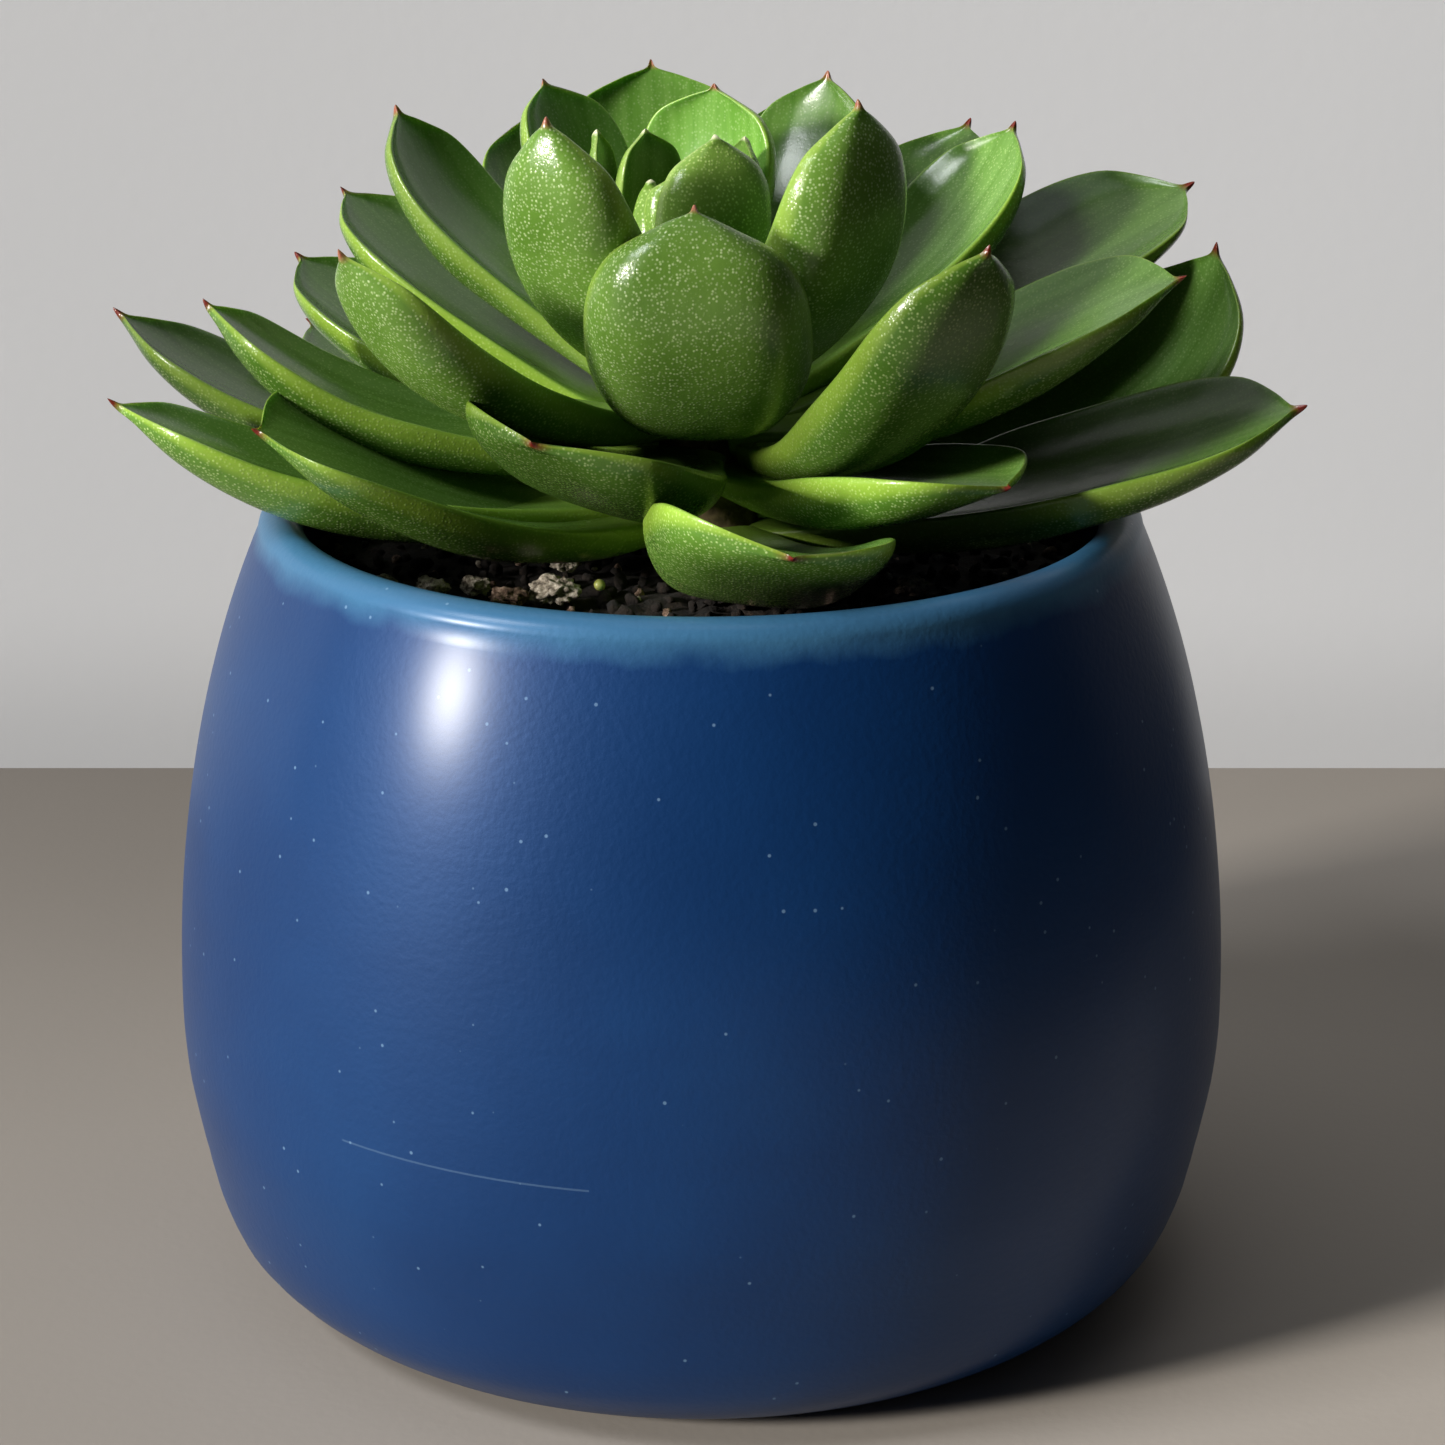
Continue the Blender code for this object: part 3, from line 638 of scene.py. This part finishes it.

# %% [markdown]
# ## The leaves
# Every leaf starts as a ball whose poles become its foot and its point. Its rings are laid along a
# Bezier midrib that leaves the stem low and turns up towards the point, and each ring becomes a lens:
# deep below, nearly flat above, with the margins rising. So one ball gives a closed skin with no
# seam, and one table of leaves, from the heart outwards, gives the whole rosette.

# %% The rosette's leaves
# Turn is in degrees from +X. Reach and top, in mm, place the point, and foot is the height on the stem.
# Rise and curl are the midrib's slopes at foot and point; width and thick are the largest, in mm.
# A listed tone is painted light or shade: it brightens or darkens that leaf's colour for how the leaf is lit.
LEAVES = (
    dict(turn=-165, reach=5.5, top=125, foot=113, rise=75, curl=85, width=4, thick=2),
    dict(turn=20, reach=4, top=126, foot=113, rise=75, curl=85, width=5, thick=2),
    dict(turn=-120, reach=6, top=126, foot=112, rise=70, curl=88, width=6, thick=2.5),
    dict(turn=143, reach=7.5, top=129.5, foot=110, rise=60, curl=80, width=9, thick=3),
    dict(turn=50, reach=7.5, top=128.5, foot=110, rise=55, curl=85, width=7, thick=3),
    dict(turn=-80, reach=9, top=131, foot=110, rise=45, curl=110, width=13, thick=4, full=0.55),
    dict(turn=160, reach=12, top=129.5, foot=110, rise=45, curl=80, width=6, thick=2.5),
    dict(turn=84, reach=14, top=133, foot=107, rise=50, curl=95, width=17, thick=5, roll=-16, tone_and_painted_light=1.4),
    dict(turn=140, reach=23, top=133.5, foot=105, rise=50, curl=62, width=15, thick=4.5),
    dict(turn=-124, reach=27.5, top=135, foot=104, rise=35, curl=85, width=16, thick=6, full=0.5, tone_and_painted_light=1.12),
    dict(turn=-47.5, reach=24, top=136, foot=103, rise=30, curl=95, width=17, thick=6.5, full=0.6),
    dict(turn=-91, reach=25, top=126.5, foot=101, rise=0, curl=112, width=24, thick=6.5,
         full=0.5, aside=2, tone_and_painted_light=0.82),
    dict(turn=59, reach=28, top=133, foot=102, rise=45, curl=75, width=16, thick=5, tone_and_painted_light=0.7),
    dict(turn=101, reach=31, top=133.5, foot=101, rise=45, curl=75, width=22, thick=5),
    dict(turn=152, reach=39, top=130, foot=100, rise=40, curl=70, width=17, thick=4.5, tone_and_painted_light=0.8),
    dict(turn=-140, reach=47, top=123, foot=99, rise=8, curl=58, width=15, thick=5.5, tone_and_painted_light=1.1),
    dict(turn=70, reach=40, top=130, foot=98, rise=35, curl=65, width=18, thick=5),
    dict(turn=32.5, reach=42.5, top=127.5, foot=98, rise=30, curl=62, width=19, thick=5, tone_and_painted_light=1.5),
    dict(turn=-49, reach=44, top=124, foot=96, rise=2, curl=62, width=18, thick=6, full=0.6, aside=4, tone_and_painted_light=0.7),
    dict(turn=-176, reach=54, top=112.5, foot=96, rise=-5, curl=50, width=19, thick=5),
    dict(turn=151, reach=47.5, top=120, foot=96, rise=25, curl=40, width=20, thick=5, tone_and_painted_light=1.1),
    dict(turn=115, reach=49, top=126, foot=96, rise=30, curl=60, width=20, thick=5),
    dict(turn=84, reach=50, top=124, foot=95, rise=28, curl=55, width=20, thick=5),
    dict(turn=22, reach=61, top=120.5, foot=97, rise=20, curl=25, width=22, thick=5, full=0.72, roll=14, tone_and_painted_light=0.72),
    dict(turn=-15, reach=53, top=117, foot=97, rise=5, curl=25, width=22, thick=5.5, full=0.66, roll=14, tone_and_painted_light=0.82),
    dict(turn=50, reach=49.5, top=125.5, foot=94, rise=30, curl=50, width=20, thick=5),
    dict(turn=-114, reach=41, top=105, foot=95, rise=0, curl=25, width=26, thick=6,
         full=0.62, roll=-10, blunt=0.6, tone_and_painted_light=0.68),
    dict(turn=-40, reach=42, top=97.5, foot=93, rise=-2, curl=5, width=20, thick=6, full=0.7, blunt=0.6, tone_and_painted_light=1.4),
    dict(turn=150, reach=55, top=111.5, foot=92, rise=15, curl=35, width=23, thick=5),
    dict(turn=128, reach=55, top=116, foot=92, rise=20, curl=42, width=20, thick=5),
    dict(turn=171, reach=67, top=108.5, foot=92, rise=0, curl=40, width=18, thick=5, tone_and_painted_light=0.6),
    dict(turn=10, reach=58.5, top=116, foot=89, rise=0, curl=85, width=21, thick=5, full=0.68, roll=28),
    dict(turn=-157, reach=51, top=102, foot=88.5, rise=-8, curl=22, width=23, thick=6,
         full=0.74, roll=-12, blunt=0.7),
    dict(turn=-167, reach=64.5, top=104, foot=89.5, rise=-2, curl=36, width=20, thick=5.5, tone_and_painted_light=1.3),
    dict(turn=108, reach=61, top=108, foot=88, rise=12, curl=35, width=21, thick=6),
    dict(turn=78, reach=63, top=107, foot=87, rise=12, curl=35, width=21, thick=6),
    dict(turn=48, reach=61, top=106, foot=87, rise=12, curl=35, width=21, thick=6),
    dict(turn=140, reach=63, top=101, foot=87.5, rise=14, curl=30, width=20, thick=6),
    dict(turn=-12, reach=66, top=103, foot=86, rise=8, curl=22, width=23, thick=6, full=0.72, roll=12, tone_and_painted_light=0.8),
    dict(turn=-79, reach=49, top=96, foot=86, rise=-5, curl=5, width=25, thick=7,
         full=0.6, roll=-11, blunt=0.8, tone_and_painted_light=1.45),
)
HEART_LEAVES = 7
INNER_LEAVES = 17

# %% Leaf shape
LEAF_ROOT_RADIUS = 4.5 * MM
FOOT_SHARE = 0.40
BELLY_SHARE = 0.72
SECTION_POWER = 0.56  # 1 makes the section an ellipse, and less makes its margins fuller
BELLY_POWER = 0.8  # the same for the depth of the underside, which stays rounder
MARGIN_RISE = 0.2
HOLLOW = 1.1  # how far the middle of the upper face sinks between its full margins
SPINE_WIDTH = 0.5 * MM  # half the width of the spine at its foot
SPINE_SHARE = 0.024  # the spine's length, as a share of the leaf's


class Midrib:
    """The curve that a leaf follows, a cubic Bezier from the stem to the point."""

    def __init__(self, leaf):
        turn = math.radians(leaf["turn"])
        height = leaf["foot"] * MM
        share = (height - STEM_FOOT.z) / (STEM_TOP.z - STEM_FOOT.z)
        stem_axis = STEM_FOOT.lerp(STEM_TOP, share) + Vector((leaf.get("aside", 0) * MM, 0, 0))
        self.tip = Vector((math.cos(turn), math.sin(turn), 0)) * leaf["reach"] * MM
        self.tip.z = leaf["top"] * MM
        out = self.tip - stem_axis
        out.z = 0
        out.normalize()
        self.foot = stem_axis + out * LEAF_ROOT_RADIUS
        reach = 0.38 * (self.tip - self.foot).length
        rise, curl = math.radians(leaf["rise"]), math.radians(leaf["curl"])
        self.after_foot = self.foot + reach * (out * math.cos(rise) + Vector((0, 0, math.sin(rise))))
        self.before_tip = self.tip - reach * (out * math.cos(curl) + Vector((0, 0, math.sin(curl))))
        self.side = Vector((-out.y, out.x, 0))

    def at(self, along):
        back = 1 - along
        return (
            self.foot * back**3
            + self.after_foot * 3 * back**2 * along
            + self.before_tip * 3 * back * along**2
            + self.tip * along**3
        )

    def upward(self, along):
        """The direction out of the leaf's upper face."""
        back = 1 - along
        heading = (
            (self.after_foot - self.foot) * back**2
            + (self.before_tip - self.after_foot) * 2 * back * along
            + (self.tip - self.before_tip) * along**2
        )
        return heading.normalized().cross(self.side)


def spine(along):
    """Half the width of the little spine, which stands where the rest of the leaf has run out."""
    return SPINE_WIDTH * min((1 - along) / SPINE_SHARE, 1) ** 0.7 * ease(0.85, 0.95, along)


def half_width(leaf, along):
    """Half the leaf's width: it swells from the foot, then runs in to a point, drawn out or blunt."""
    full, blunt = leaf.get("full", 0.68), leaf.get("blunt", 0)
    if along < full:
        share = FOOT_SHARE + (1 - FOOT_SHARE) * math.sin(along / full * math.pi / 2) ** 1.2
    else:
        past = min((along - full) / (1 - SPINE_SHARE - full), 1)
        share = max(1 - past ** (2.8 + 1.5 * blunt), 0) ** (0.52 - 0.11 * blunt)
        share *= 1 - 0.32 * (1 - blunt) * ease(0.72, 1, past)
    return max(share * leaf["width"] / 2 * MM, spine(along))


def thickness(leaf, along):
    swelling = 0.6 + 0.4 * math.sin(min(along / 0.5, 1) * math.pi / 2)
    thinning = max(1 - (max(along - 0.5, 0) / (0.5 - SPINE_SHARE)) ** 2, 0) ** 0.75
    return max(swelling * thinning * leaf["thick"] * MM, 1.8 * spine(along))


def bend_leaf(bm, leaf, seed):
    """Moves the ball's vertices on to the leaf, and writes down where on the leaf each one lies."""
    midrib = Midrib(leaf)
    layers = {name: bm.verts.layers.float.new(name) for name in ("along", "edge", "under", "across", "tone_and_painted_light")}
    for vert in bm.verts:
        along = (1 - vert.co.z) / 2
        around = math.atan2(vert.co.y, vert.co.x)
        wide, deep = half_width(leaf, along), thickness(leaf, along)
        cosine, sine = math.cos(around), math.sin(around)
        across = wide * math.copysign(abs(cosine) ** SECTION_POWER, cosine)
        share = 1 - BELLY_SHARE if sine > 0 else BELLY_SHARE
        opened = ease(0, 0.5, along)
        power = SECTION_POWER if sine > 0 else BELLY_POWER
        up = share * deep * math.copysign(abs(sine) ** power, sine)
        up *= 1 - HOLLOW * opened * sine**4 if sine > 0 else 1
        up += MARGIN_RISE * opened * wide * cosine**2
        if abs(vert.co.z) > 0.9999:
            across = up = 0
        roll = math.radians(leaf.get("roll", 0)) * opened
        vert[layers["along"]] = along
        vert[layers["edge"]] = abs(cosine)
        vert[layers["under"]] = ease(-0.3, 0.1, -sine)
        vert[layers["across"]] = across / MM + seed * 40
        # The random tone, or a listed tone that stands for painted light or shade.
        vert[layers["tone_and_painted_light"]] = leaf.get("tone_and_painted_light", 1 + 0.08 * math.sin(seed * 2.4))
        vert.co = (
            midrib.at(along)
            + midrib.side * (across * math.cos(roll) - up * math.sin(roll))
            + midrib.upward(along) * (across * math.sin(roll) + up * math.cos(roll))
        )


def soften(bm, depth, size, seed):
    """Pushes the skin in and out by slow noise, as flesh that grew unevenly."""
    bm.normal_update()
    for vert in bm.verts:
        push = noise.noise(vert.co / size + Vector((seed * 3.1, 0, 0)))
        vert.co += vert.normal * push * depth


# %% Grow the rosette
for number, leaf in enumerate(LEAVES, 1):
    zone = "heart" if number <= HEART_LEAVES else "inner" if number <= INNER_LEAVES else "outer"
    bm = bmesh.new()
    bmesh.ops.create_uvsphere(bm, u_segments=28, v_segments=40, radius=1)
    bend_leaf(bm, leaf, number)
    bmesh.ops.recalc_face_normals(bm, faces=bm.faces)
    soften(bm, 0.22 * MM * min(leaf["width"] / 18, 1), 9 * MM, number)
    name = f"leaf_{number:02d}"
    finish_piece(bm, f"{name}_flesh", SKINS[zone], [name], levels=1)
print(len(LEAVES), "leaves grown")

# %% [markdown]
# ## Sizes, and the end
# The box of what was built is written beside the box of the solids, so that the two can be compared.

# %% Write the sizes and finish
boxes = {"cad": CAD_BOX, "visual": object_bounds()}
{key: [list(map(float, corner)) for corner in box] for key, box in boxes.items()}
